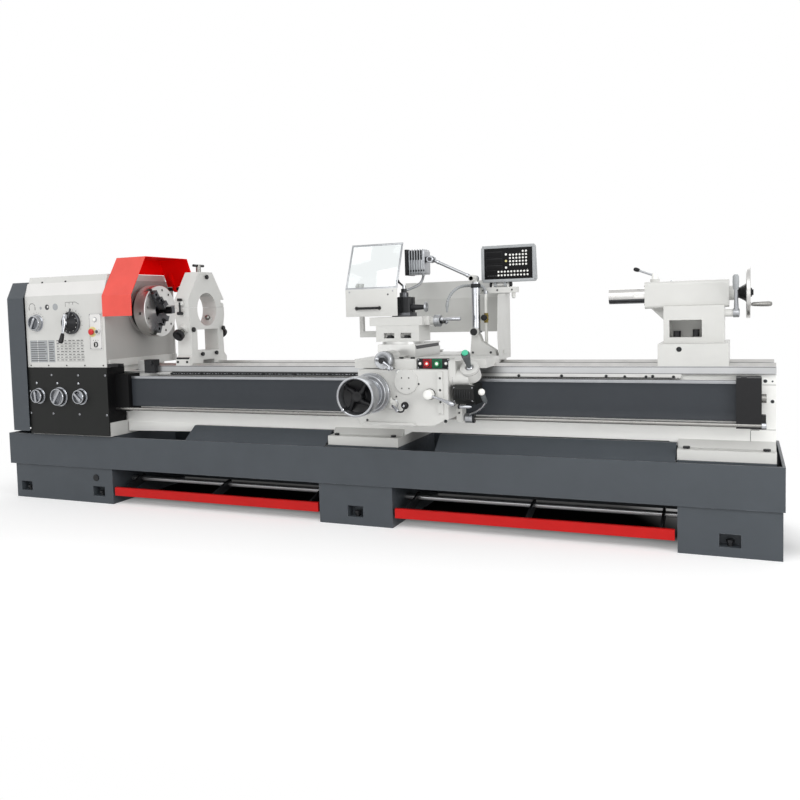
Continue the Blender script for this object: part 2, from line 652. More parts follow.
# %% Blinds
def roller_blind(name, first, last, node, from_body):
    """A straight strip of blind with hems, stretched between two bodies."""
    cloth = Blank(name)
    rows = [(600, 0.0), (601.5, -1.2), (607, -1.2), (609, 0.0), (640, -0.25), (691, -0.4), (742, -0.25),
        (765, 0.0), (767, -1.2), (780.5, -1.2), (782, 0.0)]
    steps = 96
    columns = [[cloth.shape.verts.new((first + (last - first) * k / steps, -260 + bulge, z))
        for z, bulge in rows] for k in range(steps + 1)]
    back = [[cloth.shape.verts.new((first + (last - first) * k / steps, -257.6, z)) for z in (600, 782)]
        for k in range(steps + 1)]
    faces = []
    for one, two in zip(columns, columns[1:]):
        faces += [cloth.shape.faces.new((one[n], two[n], two[n + 1], one[n + 1]))
            for n in range(len(rows) - 1)]
    for (one, two), (low, high) in zip(zip(columns, columns[1:]), zip(back, back[1:])):
        faces.append(cloth.shape.faces.new((low[0], low[1], high[1], high[0])))
        faces.append(cloth.shape.faces.new((one[0], low[0], high[0], two[0])))
        faces.append(cloth.shape.faces.new((one[-1], two[-1], high[1], low[1])))
    faces.append(cloth.shape.faces.new([*columns[0], back[0][1], back[0][0]]))
    faces.append(cloth.shape.faces.new([*reversed(columns[-1]), back[-1][0], back[-1][1]]))
    cloth.paint(faces, blind_cloth)
    cloth.paint([f for f in faces if len(f.verts) == 4 and 767 < f.calc_center_median().z < 780], alloy)
    thing = cloth.fitted(from_body, [node])
    thing.parent = None
    del thing["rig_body"]
    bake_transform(thing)


roller_blind("roller_blind_left", -1290, 300, "blind_left", "base")
roller_blind("roller_blind_right", 2045, 775, "blind_right", "base")
print("blinds stretched")

# %% [markdown]
# ## Knobs of the headstock and the gearbox
# Each selector is a turned cup of chromed steel: a polished rim, a dark recess,
# and a bar across it for two fingers. Turning the profile once round gives the
# cup; a sawn plate with a pointed end gives the bar, so that one can read which
# way it stands.

# %% Selector knobs
def selector_knob(name, x, z, radius, face, front, grip_angle, body, node):
    """A chromed cup on a plate facing the operator, with a pointed bar across it."""
    knob = Blank(name)
    knob.turned(bright_chrome, (x, face, z), OUT, [(-10, 0), (-10, 9.9), (0.2, 9.9), (0.2, radius),
        (3.5, radius), (5, radius - 1.5), (5, radius - 6), (front * 0.55, radius - 6),
        (front - 2.5, radius - 7.5), (front - 0.6, radius - 9), (front, radius - 11),
        (front - 0.4, radius - 13.5), (front - 3, radius - 15)], 48)
    knob.turned(alloy, (x, face, z), OUT,
        [(front - 3, radius - 15), (12, radius - 17), (11, radius - 20), (11, 12), (12, 0)], 48)
    for a in turns(24):
        knob.block(ink, (x - 0.5, face - 5.35, z + radius - 4.6), (x + 0.5, face - 4.9, z + radius - 1.9), 0,
            about(x, z, a))
    turn = math.radians(grip_angle)
    across, up = (math.cos(turn), 0, math.sin(turn)), (-math.sin(turn), 0, math.cos(turn))
    reach, half = radius - 16, 7
    knob.plate(bright_chrome, [(-half, -reach), (half, -reach), (half, reach - 9), (0, reach),
        (-half, reach - 9)], (x, face - 8, z), across, up, front - 2, 1.2)
    knob.fitted(body, [node])


selector_knob("range_selector_knob", -1928, 1117, 53, HEAD_FRONT, 34, -28, "range_selector", "range_knob")
feed_knobs = ((-1935, 662, 50, 8), (-1765, 659, 60, -35), (-1598, 662, 50, 48))
for k, (x, z, radius, angle) in enumerate(feed_knobs, 1):
    selector_knob(f"feed_selector_knob_{k}", x, z, radius, GEARBOX_FRONT, 34, angle, f"feed_selector_{k}",
        f"feed_knob_{k}")
print("selector knobs made")

# %% [markdown]
# ## The speed lever
# One big dark dial changes the spindle speed. It has a knurled steel rim, a
# blackened face with small marks, a bright crank across it and a black grip that
# hangs down. A short grey pointer leans out at the top.

# %% Speed lever
lever = Blank("speed_change_lever")
x, z, face = -1647, 1112, HEAD_FRONT
lever.turned(dark_steel, (x, face, z), OUT,
    [(-10, 0), (-10, 9.9), (0.2, 9.9), (0.2, 68), (17, 68), (21, 65)], 56)
lever.turned(black_oxide, (x, face, z), OUT,
    [(21, 65), (22, 63), (20.5, 58), (20.5, 50), (25, 46), (44, 30), (54, 24), (56, 20), (56, 0)], 56)
for a in turns(40):
    lever.block(dark_steel, (x - 1.8, face - 15, z + 67), (x + 1.8, face - 4, z + 69.2), 0.5, about(x, z, a))
for a in turns(12):
    lever.turned(white_plastic, (x + 55 * math.cos(a), face - 20.3, z + 55 * math.sin(a)), OUT,
        disc(2.2, 0.8), 10)
lever.turned(bright_chrome, (x, face - 54, z), OUT, [(0, 0), (0, 17), (8, 17), (12, 12), (13, 0)], 28)
lever.bent(bright_chrome, [(x - 3, face - 60, z + 34), (x - 1, face - 62, z + 14), (x - 1, face - 66, z - 12),
    (x - 2, face - 74, z - 48), (x - 3, face - 78, z - 64)], [12, 13, 12, 8.5, 8])
lever.plate(bright_chrome, [(-26, 22), (-6, 56), (14, 48), (10, 10), (-14, 4)], (x, face - 42, z),
    RIGHT, UP, 16, 2)
lever.bent(dark_steel,
    [(x + 10, face - 40, z + 30), (x + 22, face - 40, z + 62), (x + 30, face - 40, z + 86)], [5, 5, 6.2])
lever.bent(black_plastic, [(x - 3, face - 78, z - 62), (x - 3, face - 80, z - 68), (x - 4, face - 84, z - 84),
    (x - 5, face - 92, z - 106), (x - 6, face - 97, z - 116), (x - 6, face - 98, z - 119)],
    [8, 11.5, 13, 14.6, 13.5, 8], 20)
lever.fitted("speed_selector", ["speed_lever"])
print("speed lever made")

# %% [markdown]
# ## The electric panel of the headstock
# A white plate carries a lamp, the mushroom stop on its yellow ring, a key switch
# and a small selector. The plate has a thin dark frame line and four screws, and
# the mushroom is the only part of it that moves.

# %% Panel and mushroom stop
panel = Blank("switch_panel")
panel.block(bright_paint, (-1510, -360, 948), (-1415, -358.6, 1166), 0.5)
for x0, z0, x1, z1 in ((-1507, 951, -1418, 952.5), (-1507, 1161.5, -1418, 1163), (-1507, 951, -1505.5, 1163),
        (-1419.5, 951, -1418, 1163)):
    panel.block(ink, (x0, -360.4, z0), (x1, -359.8, z1), 0)
panel.turned(straw_plastic, (-1486, -359.4, 1055), OUT,
    [(0, 0), (0, 31), (1.4, 31), (1.8, 30), (1.8, 11)], 36)
panel.turned(alloy, (-1464, -359.4, 1128), OUT, [(0, 0), (0, 15.5), (3, 15.5), (4, 13)], 28)
panel.turned(white_plastic, (-1464, -363, 1128), OUT, [(0, 13), (4, 12.6), (8, 9), (10, 4), (10.4, 0)], 28)
panel.turned(bright_chrome, (-1440, -359.4, 1056), OUT, [(0, 0), (0, 15), (4, 15), (5, 13)], 28)
panel.turned(black_plastic, (-1440, -363, 1056), OUT, [(0, 13), (13, 12.4), (15, 10.5), (15, 0)], 28)
panel.block(bright_chrome, (-1442, -382, 1049), (-1438, -377, 1063), 0.8)
panel.turned(black_oxide, (-1464, -359.4, 978), OUT, [(0, 0), (0, 17), (3, 17), (4, 11)], 28)
panel.turned(alloy, (-1464, -363, 978), OUT, [(0, 13.5), (5, 13), (6.5, 11.5), (6.5, 0)], 28)
panel.block(black_plastic, (-1467.5, -375, 966), (-1460.5, -368, 990), 1.6)
for sx in (-1503, -1422):
    for sz in (956, 1158):
        panel.screw(bright_chrome, (sx, -359.6, sz), OUT, 3.2, 1.6)
for k in range(3):
    panel.turned(ink, (-1482 + k * 18, -360, 1004), OUT, disc(2.4, 0.3), 12)
panel.fitted("base")

mushroom = Blank("mushroom_stop")
mushroom.turned(red_plastic, (-1486, -344, 1055), OUT, [(0, 0), (0, 9.9), (23.5, 9.9), (23.5, 12), (25, 18),
    (29, 19), (33.5, 18.2), (36.6, 14.5), (38, 8), (38.2, 0)], 40)
mushroom.fitted("stop_mushroom", ["emergency_button"])
print("electric panel made")

# %% [markdown]
# ## Charts, scales and screws of the headstock
# A lathe wears its tables on its front: which lever gives which speed and which
# thread. They are left without words here. Thin printed rules and short bars
# stand for the rows, and rings of ticks stand round the knobs, so that the front
# is as busy as the real one and says nothing.

# %% Charts and scales
charts = Blank("front_charts")
front = -356.35


def printed(x0, z0, x1, z1, finish=ink, lift=0.0):
    charts.block(finish, (x0, front - lift - 0.25, z0), (x1, front - lift + 0.2, z1), 0)


printed(-1992, 872, -1850, 1008, case_grey)
printed(-1843, 872, -1792, 1008, case_grey)
for k in range(9):
    printed(-1986, 880 + k * 14, -1856 - (k % 3) * 9, 884 + k * 14, ink, 0.3)
    printed(-1838, 880 + k * 14, -1798 - (k % 2) * 8, 884 + k * 14, ink, 0.3)
printed(-1931, 872, -1928, 1008, white_plastic, 0.3)
for row in range(8):
    z0 = 884 + row * 17
    for column in range(7):
        x0 = -1776 + column * 32
        printed(x0, z0, x0 + 14 + (row * 5 + column * 7) % 12, z0 + 4.5)
    printed(-1780, z0 - 6, -1560, z0 - 5)
for k in range(9):
    a = math.radians(20 + k * 17.5)
    charts.bent(ink, [(-1928 + r * math.cos(a), front, 1117 + r * math.sin(a)) for r in (60, 66)], 0.9, 6)
for k in range(14):
    a = math.radians(-30 + k * 18.5)
    charts.bent(ink, [(-1647 + r * math.cos(a), front, 1112 + r * math.sin(a))
        for r in (76, 82 + 4 * (k % 2))], 0.9, 6)
charts.bent(ink, arc((-1960, front, 1214), 24, 15, 165, 14), 1.2, 6)
for x0 in (-1984, -1936):
    charts.bent(ink, [(x0, front, 1196), (x0, front, 1216)], 1.6, 6)
for x0 in (-1890, -1772):
    charts.turned(case_grey, (x0, front + 0.2, 1208), OUT, disc(9, 0.5), 20)
charts.turned(case_grey, (-1772, front + 0.2, 1212), OUT, disc(21, 0.4), 24)
charts.turned(ink, (-1838, front + 0.2, 1212), OUT, disc(17, 0.5), 24)
charts.turned(white_plastic, (-1832, front, 1214), OUT, disc(6, 0.6), 16)
charts.bent(ink, [(-1690, front, 1212), (-1690, front, 1238), (-1612, front, 1238), (-1584, front, 1224)], 1.1,
    6)
for x0, z0 in ((-1660, 1226), (-1632, 1222)):
    charts.bent(ink, [(x0, front, 1238), (x0, front, z0)], 1.1, 6)
charts.fitted("base")
print("charts printed")

# %% [markdown]
# Screws hold the plates of the headstock and of the gearbox. They stand in rows,
# so loops set them.

# %% Screws of the headstock
screws = Blank("headstock_screws")
for x0 in (-1993, -1848, -1703, -1560, -1418):
    screws.screw(black_oxide, (x0, -355.8, 852), OUT, 4.5, 3)
for x0, z0 in ((-1825, 793), (-1613, 792), (-1405, 792), (-2008, 691), (-2008, 553), (-1825, 553),
        (-1616, 553), (-1405, 553)):
    screws.screw(bright_chrome, (x0, -359.8, z0), OUT, 6.5, 3.4)
for x0 in (-1950, -1781, -1614):
    screws.turned(bright_chrome, (x0, -359.8, 742), OUT, [(0, 0), (0, 8), (3, 7), (5, 4), (5.4, 0)], 20)
for x0 in (-1900, -1712):
    screws.turned(black_oxide, (x0, -318, 1366), OUT, disc(6, 8, 0, 2), 16)
screws.fitted("base")
print("headstock screws made")

# %% [markdown]
# ## The carriage handwheel
# The big wheel that runs the carriage stands well out from the apron. From the
# back it has a wide graduated dial, a plain drum, and then the wheel itself, a
# smooth steel rim round a black dished hub with four spokes. The crank handle
# folds into the rim.

# %% Carriage handwheel
wheel = Blank("carriage_wheel")
x, z = 400, 730
start = (x, 0, z)
wheel.turned(alloy, start, OUT, [(395, 0), (395, 13.9), (515.2, 13.9), (515.2, 88), (516, 98), (518.5, 100),
    (536, 100), (538, 98), (538, 94), (541, 92), (556, 90), (559, 86), (559.5, 72)], 72)
wheel.turned(bright_chrome, start, OUT, [(559.5, 72), (561, 70), (600, 70), (602, 68), (603, 66), (621, 65.5),
    (624, 63), (625, 58), (622, 52)], 72)
wheel.turned(black_oxide, start, OUT, [(622, 52), (616, 50), (616, 44), (640, 40), (653, 34), (662, 30)], 48)
wheel.turned(alloy, start, OUT, [(655, 82), (653, 86), (652.5, 92), (654, 96), (658, 97), (716, 97),
    (720.5, 96), (722.5, 93.5), (723, 90), (721, 86.5), (716, 85), (700, 84), (668, 83), (655, 82)], 72)
wheel.turned(black_plastic, start, OUT, [(657, 30), (658, 60), (656, 82.4), (664, 83.4), (676, 80), (667, 60),
    (664, 40), (668, 34), (680, 31), (696, 28), (701, 24), (702, 20), (700, 12), (699, 0)], 56)
for k in range(4):
    a = math.radians(45 + 90 * k)
    inner, outer = (Vector((math.cos(b), 0, math.sin(b))) for b in (a, a + 0.16))
    spoke = ((-688, inner, 20), (-686, inner, 38), (-681, outer, 60), (-677, outer, 81))
    wheel.bent(black_plastic, [Vector((x, y, z)) + way * reach for y, way, reach in spoke],
        [13, 11, 9.5, 12], 14)
for k, a in enumerate(turns(72)):
    long = 9 if k % 6 == 0 else 5
    wheel.block(ink, (x - 0.5, -552 - long / 2, z + 91.2), (x + 0.5, -545, z + 92.1), 0, about(x, z, a))
for k in range(3):
    a = math.radians(30 + 120 * k)
    wheel.screw(bright_chrome, (x + 20 * math.cos(a), -696, z + 20 * math.sin(a)), OUT, 5, 4)
down_left = 97 * 0.62
wheel.turned(bright_chrome, (x - down_left, 0, z - down_left), OUT,
    [(655, 0), (655, 7), (670, 8.5), (690, 9), (712, 10), (728, 10.4), (736, 9), (740, 5), (740, 0)], 24)
wheel.fitted("apron_wheel", ["carriage_handwheel"])
print("carriage handwheel made")

# %% [markdown]
# ## Levers of the apron
# The feed lever has a pale boss, a crossed hub and a thin arm that curls round to
# a black ball. The half-nut lever is a pale round boss with one chromed arm that
# thickens towards its end.

# %% Apron levers
feed = Blank("feed_change_lever")
x, z, y = 492, 670, -455
feed.turned(bright_chrome, (x, y, z), OUT,
    [(-10, 0), (-10, 9.9), (0.2, 9.9), (0.2, 24), (4, 24), (5, 22)], 36)
feed.turned(white_paint, (x, y, z), OUT, [(5, 22), (7, 23), (28, 22), (33, 18), (34.5, 10), (34.5, 0)], 36)
feed.bent(white_paint, [(x - 3, y - 26, z + 6), (x - 10, y - 27, z + 26), (x - 12, y - 27, z + 34)],
    [14, 12, 9], 18)
feed.bent(bright_chrome, [(x + 4, y - 28, z - 6), (x + 18, y - 34, z - 18), (x + 30, y - 39, z - 26)],
    [9, 8, 8.5], 18)
feed.ball(bright_chrome, (x + 32, y - 40, z - 27), 11, OUT)
feed.screw(bright_chrome, (x + 32, y - 49, z - 27), OUT, 6, 3)
feed.bent(black_oxide, [(x + 32, y - 41, z - 30)] + arc((x + 50, y - 43, z - 6), 29, 235, 300, 8)
    + [(x + 72, y - 46, z - 16)], 4.2, 12)
feed.ball(black_plastic, (x + 76, y - 47, z - 2), 19, OUT)
feed.turned(bright_chrome, (x + 76, y - 65, z - 2), OUT, [(0, 6), (1.4, 6), (1.8, 5), (1.8, 0)], 20)
feed.fitted("feed_handle", ["feed_lever"])

nut = Blank("half_nut_handle")
x, z = 683, 721
nut.turned(black_oxide, (x, y, z), OUT, [(-10, 0), (-10, 9.9), (0.2, 9.9), (0.2, 27), (5, 27), (7, 25)], 36)
nut.turned(white_plastic, (x, y, z), OUT,
    [(7, 25), (8, 24), (36, 24), (40.5, 22), (42.5, 18), (43.5, 10), (43.6, 0)], 40)
nut.bent(bright_chrome, [(x + 12, y - 32, z - 4), (x + 40, y - 36, z - 12), (x + 96, y - 45, z - 30),
    (x + 112, y - 47.5, z - 35.5), (x + 132, y - 51, z - 42), (x + 139, y - 52, z - 44)],
    [6, 6, 8, 11, 12, 8], 20)
nut.fitted("nut_handle", ["half_nut_lever"])
print("apron levers made")

# %% [markdown]
# ## Buttons on the apron
# A dark plate closes the box on the apron's shoulder, red round the stop button
# and green round the start button, with a small lamp at each end.

# %% Button plate and buttons
buttons = Blank("button_plate")
x0, x1, front = 607, 775, -420
buttons.block(black_plastic, (x0 + 1, front - 2.2, 842), (x1 - 1, front + 0.4, 894), 1.0)
buttons.block(crimson_plate, (x0 + 31, front - 2.8, 845), (x0 + 76, front - 1.6, 891), 0.3)
buttons.block(fir_plate, (x0 + 79, front - 2.8, 845), (x0 + 130, front - 1.6, 891), 0.3)
for bx in (659, 711):
    buttons.turned(black_plastic, (bx, front - 1, 868), OUT,
        [(0, 17.5), (4.5, 17.5), (5.6, 16.5), (5.6, 14.3), (-12, 14.3)], 36)
for bx in (x0 + 16, x1 - 18):
    buttons.turned(alloy, (bx, front - 1, 868), OUT, [(0, 0), (0, 8), (3, 8), (3.5, 6.5)], 24)
    buttons.turned(white_plastic, (bx, front - 4, 868), OUT, [(0, 6.5), (2.5, 6), (4, 3.4), (4.4, 0)], 24)
for bx, bz in ((x0 + 7, 848), (x1 - 7, 848), (x0 + 7, 888), (x1 - 7, 888)):
    buttons.screw(bright_chrome, (bx, front - 1.8, bz), OUT, 3, 1.6)
buttons.fitted("carriage")
dot, ring_mark = disc(6, 0.9), [(0, 0), (0, 7.5), (1.0, 7.5), (1.0, 5), (0.4, 5), (0.4, 0)]
for word, bx, body, mark, colour in (("stop", 659, "off_button", dot, red_plastic),
        ("start", 711, "on_button", ring_mark, green_plastic)):
    push = Blank(word + "_push")
    push.turned(colour, (bx, front + 12, 868), OUT,
        [(0, 0), (0, 14), (19.6, 14), (20.8, 13), (20.2, 10.6), (19.2, 0)], 32)
    push.turned(white_plastic, (bx, front - 7.4, 868), OUT, mark, 24)
    push.fitted(body, [word + "_button"])
print("buttons made")

# %% [markdown]
# ## Small things on the apron
# The round cover of the feed gears has four screws; the strip at the right has
# three; plugs and an oil glass sit between them.

# %% Apron trim
trim = Blank("apron_trim")
for dx, dz in ((-22, 18), (16, 18), (-22, -34), (16, -34)):
    trim.screw(black_oxide, (560 + dx, -460.6, 782 + dz), OUT, 3.4, 1.6)
trim.turned(white_paint, (560, -460.4, 782), OUT, [(0, 61), (1.2, 60), (1.6, 58), (0.8, 56.5)], 56)
for bz in (800, 742, 684):
    trim.screw(black_oxide, (738, -459.2, bz), OUT, 6, 3)
trim.turned(alloy, (522, -458.6, 828), OUT, [(0, 14), (1.6, 14), (2.4, 12.5), (1.6, 11)], 32)
for bx, bz, radius, height in ((625, 770, 5, 2.4), (345, 585, 6, 3), (506, 706, 4.5, 2)):
    trim.screw(black_oxide, (bx, -454.6, bz), OUT, radius, height)
trim.turned(black_oxide, (760, -454.6, 590), OUT, [(0, 0), (0, 9), (4, 9), (5, 7.5), (5, 0)], 6)
trim.fitted("carriage")
print("apron trim made")

# %% [markdown]
# ## Cranks, their dials, and levers of the carriage
# Two ball cranks drive the slides. Both are the same kind of thing: a dial with a
# ring of graduations, a black hub, an arm with a ball at each end and a handle
# that turns in one of the balls. So one function makes both of them.

# %% Ball cranks
mint_plastic = finish("mint_plastic", (74, 190, 152), 0.32, drift=0.05, drift_size=0.01, coat=0.3)
grip_rubber = finish("grip_rubber", (84, 88, 90), 0.55, drift=0.10, drift_size=0.01, bump=(0.00010, 0.0012))


def ticks(blank, centre, along, radius, count, length, fifth):
    """Graduations on a turned face, every fifth one longer."""
    axis, side, other = square_to(along)
    for k, spot in enumerate(circle(Vector(centre), side, other, radius, count)):
        blank.bent(ink, [spot, spot + axis * (fifth if k % 5 == 0 else length)], 0.45, 4)


def ball_crank(name, centre, along, dial, dial_length, shaft, hub, arm, handle, body, node):
    """A graduated dial whose face stands at centre, with a ball crank in front of it."""
    crank = Blank(name)
    axis = Vector(along)
    crank.turned(alloy, centre, along, [(-dial_length - shaft[0], 0), (-dial_length - shaft[0], shaft[1]),
        (-dial_length, shaft[1]), (-dial_length, dial - 1), (-dial_length + 1, dial),
        (-dial_length * 0.3, dial), (-dial_length * 0.27, dial - 1.4), (-dial_length * 0.2, dial - 1.4),
        (-dial_length * 0.17, dial), (-2, dial), (0, dial - 2), (0.4, hub + 9), (-0.8, hub + 7), (-0.8, hub)],
        56)
    ticks(crank, Vector(centre) - axis * dial_length * 0.95, along, dial + 0.1, 50, 4, 7)
    crank.turned(black_oxide, centre, along,
        [(-2, hub), (12, hub - 0.5), (14, hub - 3), (22, hub - 3), (24, hub - 5), (24, 0)], 36)
    first, last = (Vector(p) for p in arm)
    middle = Vector(centre) + axis * (first - Vector(centre)).dot(axis)
    crank.bent(bright_chrome, [first, (first + middle) / 2, middle, (middle + last) / 2, last],
        [8, 6.5, 9, 6, 7], 20)
    crank.turned(bright_chrome, middle - axis * 7, along,
        [(0, 0), (0, 13), (12, 13), (14, 11), (14, 6), (13, 5), (13, 0)], 32)
    crank.ball(bright_chrome, first, 12, along)
    crank.ball(bright_chrome, last, 11, along)
    crank.turned(black_oxide, last + axis * 9, along, [(0, 0), (0, 6), (3, 6)], 16)
    crank.turned(bright_chrome, last + axis * 10, along, [(0, 0), (0, 6), (4, 7.5), (handle * 0.5, 9.4),
        (handle - 6, 9.8), (handle - 2, 8), (handle, 4), (handle, 0)], 28)
    crank.fitted(body, [node])


ball_crank("cross_feed_crank", (438, -459, 886), OUT, 45, 34, (70, 11.5), 17,
    ((414, -474, 894), (490, -474, 848)), 28, "slide_crank", "cross_crank")
ball_crank("top_slide_crank", (632, -113, 1072), RIGHT, 31, 33.6, (56, 7.5), 16,
    ((648, -81, 1064), (648, -145, 1080)), 92, "tool_slide_crank", "top_crank")
print("ball cranks made")

# %% [markdown]
# The joystick for the rapid feed stands in its turret on a steel ball, a grey
# cone that widens upwards, with a mint green button on top. The spindle lever
# below is a thick turned boss on the control rod, a thin chromed arm, a grey grip
# and a white ball.

# %% Joystick and spindle lever
turret, tilt = Vector((873, -408, 838)), math.radians(42)
leaning = Vector((0, -math.sin(tilt), math.cos(tilt)))
stick = Blank("rapid_joystick")
stick.ball(bright_chrome, turret + leaning * 6, 19.4, leaning)
stick.turned(grip_rubber, turret, leaning, [(15, 9), (18, 12.5), (20, 12.5), (22, 11), (46, 13.5), (70, 17),
    (94, 21), (98, 21.6), (108, 21.6), (111, 19), (111, 15)], 36)
stick.turned(black_plastic, turret, leaning, [(111, 19), (112.5, 18), (112.5, 15)], 36)
stick.turned(mint_plastic, turret, leaning, [(110, 16), (119, 16), (122, 14), (123, 10), (123, 0)], 32)
stick.fitted("rapid_stick", ["joystick"])

lever = Blank("spindle_start_lever")
lever.turned(alloy, (808, -284, 586), RIGHT,
    [(0, 10.05), (0, 22), (1.5, 24), (17, 24), (18, 23), (20, 23), (21, 24), (39, 24), (39, 20)], 44)
lever.turned(black_oxide, (808, -284, 586), RIGHT,
    [(39, 20), (39, 24.6), (46.5, 24.6), (48, 23), (48, 10.05)], 44)
lever.bent(bright_chrome, [(833, -294, 596), (846, -311, 609), (886, -343, 627), (922, -377, 652),
    (940, -398, 673), (946, -404, 680)], [9, 8, 7, 6.4, 6.4, 7], 18)
lever.bent(grip_rubber, [(946.5, -403.5, 679), (945, -405, 684), (941, -413, 700), (937, -423, 718),
    (936, -425, 722)], [8, 11, 12.6, 12.4, 9], 24)
lever.ball(white_plastic, (934, -429, 732), 16.6, (0, -0.4, 1))
lever.screw(bright_chrome, (824, -284, 609.5), UP, 4, 2)
lever.fitted("start_handle", ["spindle_lever"])

trim = Blank("rapid_unit_trim")
trim.turned(ink, turret, leaning, [(1.6, 45), (1.6, 46.5), (2.6, 46.5), (2.6, 45)], 64)
trim.turned(white_paint, turret, leaning, [(15.8, 43), (17, 42), (17.4, 30), (17.2, 22.5), (15.8, 20.4)], 56)
trim.turned(ink, (792, -400, 798), RIGHT, disc(40.5, 1, 39), 56)
trim.turned(bright_chrome, (822, -428, 660), RIGHT,
    [(0, 0), (0, 8), (2, 9), (50, 9), (54, 7), (62, 6), (62, 0)], 28)
trim.turned(black_oxide, (816, -428, 660), RIGHT, [(0, 0), (0, 11), (8, 11), (8, 8)], 28)
for k in range(7):
    trim.block(black_oxide, (806 + k * 12, -453.2, 700), (811 + k * 12, -450.6, 742), 0.8)
for sx, sz in ((802, 754), (893, 754), (802, 690), (893, 690)):
    trim.screw(bright_chrome, (sx, -449.5 if sz > 700 else -446, sz), OUT, 3.2, 2)
trim.screw(black_oxide, (790, -330.4, 616), OUT, 5, 3)
trim.block(white_paint, (776, -432, 880), (836, -350, 886), 2.4)
trim.fitted("carriage")
print("joystick and spindle lever made")

# %% [markdown]
# ## The tool post
# A quick-change post is a block with dovetails on its sides. A holder with a
# turning tool hangs on its left side, held down by square-headed screws; a boring
# bar sleeve sticks out to the right and ends in a pale disc. The clamp stud, its
# washer and a short black lever finish the top.

# %% Tool post
post = Blank("quick_change_post")
px, py, pz = 428, -113, 1098
post.block(dark_steel, (376, -165, pz), (480, -61, pz + 21), 2.0)
post.plate(black_oxide, [(-46, -40), (-46, -13), (-38, -9), (-38, 9), (-46, 13), (-46, 40), (-40, 46),
    (-13, 46), (-9, 38), (9, 38), (13, 46), (40, 46), (46, 40), (46, 13), (38, 9), (38, -9), (46, -13),
    (46, -40), (40, -46), (13, -46), (9, -38), (-9, -38), (-13, -46), (-40, -46)], (px, py, pz + 21),
    RIGHT, BACK, 82)
post.turned(dark_steel, (px, py, pz), UP,
    [(103, 34), (105, 34), (106, 24), (127, 24), (128, 23), (128, 0)], 40)
post.turned(black_oxide, (px, py, pz), UP, [(128, 17), (147, 17), (148, 16), (148, 0)], 6)
post.turned(bright_chrome, (px, py, pz), UP, [(146, 9), (166, 9), (168, 7.5), (168, 0)], 28)
post.bent(black_oxide, [(px + 4, py, pz + 156), (px - 8, py - 5, pz + 168), (px - 22, py - 11, pz + 182),
    (px - 27, py - 13, pz + 187)], [6, 5, 5.4, 7], 18)
post.ball(black_plastic, (px - 29, py - 14, pz + 189), 9.6)
for low, high in ((34, 62), (72, 94)):
    post.block(black_oxide, (340, -157, pz + low), (381.6, -69, pz + high), 1.6)
post.block(black_oxide, (371, -156, pz + 40), (381.6, -70, pz + 90), 0.8)
for s in (-143, -113, -83):
    post.turned(dark_steel, (356, s, pz + 70), UP,
        [(0, 0), (0, 5), (26, 5), (26, 8), (36, 8), (37, 7), (37, 0)], 4)
post.turned(bright_chrome, (372, -100, pz + 94), UP, [(0, 0), (0, 7), (5, 7), (5, 4), (14, 4), (14, 0)], 24)
post.block(dark_steel, (346, -161, pz + 47), (369.6, -27, pz + 70), 0.8)
post.plate(ground_steel, [(346.5, -27), (369, -27), (369, -25), (355, -14), (352, -16), (346.5, -25)],
    (0, 0, pz + 60), RIGHT, BACK, 11)
post.turned(black_oxide, (473, -123, 1146), RIGHT,
    [(0, 0), (0, 20), (12, 20), (14, 16), (60, 13), (74, 12), (77, 12), (77, 22)], 36)
post.turned(alloy, (473, -123, 1146), RIGHT,
    [(77, 22), (78, 27), (84, 27), (86, 25), (86, 9), (84, 8), (84, 0)], 40)
for s in (-150, -76):
    post.screw(bright_chrome, (392, s, pz + 20.6), UP, 5, 3.4)
post.fitted("post", ["tool_post"])
print("tool post made")

# %% [markdown]
# ## The chip shield
# A bent sheet stands between the operator and the tool. Its lower half is painted
# steel with a black grip; its upper half is a thin steel frame, tilted back, that
# holds a clear window with screws along its edge. The window lets most light
# straight through and mirrors a little of it.

# %% Chip shield
clear_sheet = bpy.data.materials.new("clear_sheet")
tree, output = node_tree(clear_sheet)
through = add_node(tree, "BsdfTransparent", {"Color": (0.93, 0.95, 0.95, 1)})
gloss = spread(tree, noise(tree, 0.03, 4), 0.03, 0.10)
mirror = add_node(tree, "BsdfGlossy", {"Color": WHITE, "Roughness": gloss})
share = spread(tree, noise(tree, 0.012, 5), 0.05, 0.11)
tree.links.new(add_node(tree, "MixShader", {0: share, 1: through, 2: mirror}), output)

shield = Blank("chip_shield_window")
lean = Matrix.Translation((0, -204, 1250)) @ Matrix.Rotation(math.radians(-24), 4, "X")
shield.block(white_paint, (126, -204, 1104), (424, -201, 1251), 0.8)
shield.plate(white_paint, [(-203, 1166), (-33, 1166), (-33, 1240), (-43, 1250), (-203, 1250)],
    (126, 0, 0), BACK, UP, 3)
shield.block(white_paint, (126, -202, 1104), (129, -190, 1166), 0.6)
shield.turned(white_paint, (124, -47, 1270), RIGHT, boss(16, 12, 7.05), 32)
shield.block(white_paint, (124.4, -58, 1241), (135.6, -36, 1262), 1)
for low, high in (((126, 0, -1), (424, 5, 10)), ((126, 0, 257), (424, 5, 266)), ((126, 0, 8), (135, 5, 259)),
        ((415, 0, 8), (424, 5, 259))):
    shield.block(alloy, low, high, 0.7, lean)
for k in range(4):
    for side in (131, 419):
        spot = lean @ Vector((side, 0.2, 24 + k * 72))
        shield.screw(bright_chrome, spot, lean.to_3x3() @ Vector(OUT), 2.6, 1.6)
shield.bent(black_plastic, [(190, -201, 1148), (190, -209, 1148)] + arc((196, -211, 1148), 6, 180, 270, 4,
    RIGHT, BACK) + [(256, -217.5, 1148)] + arc((316, -211, 1148), 6, 270, 360, 4, RIGHT, BACK)
    + [(322, -209, 1148), (322, -201, 1148)], 6.5, 16)
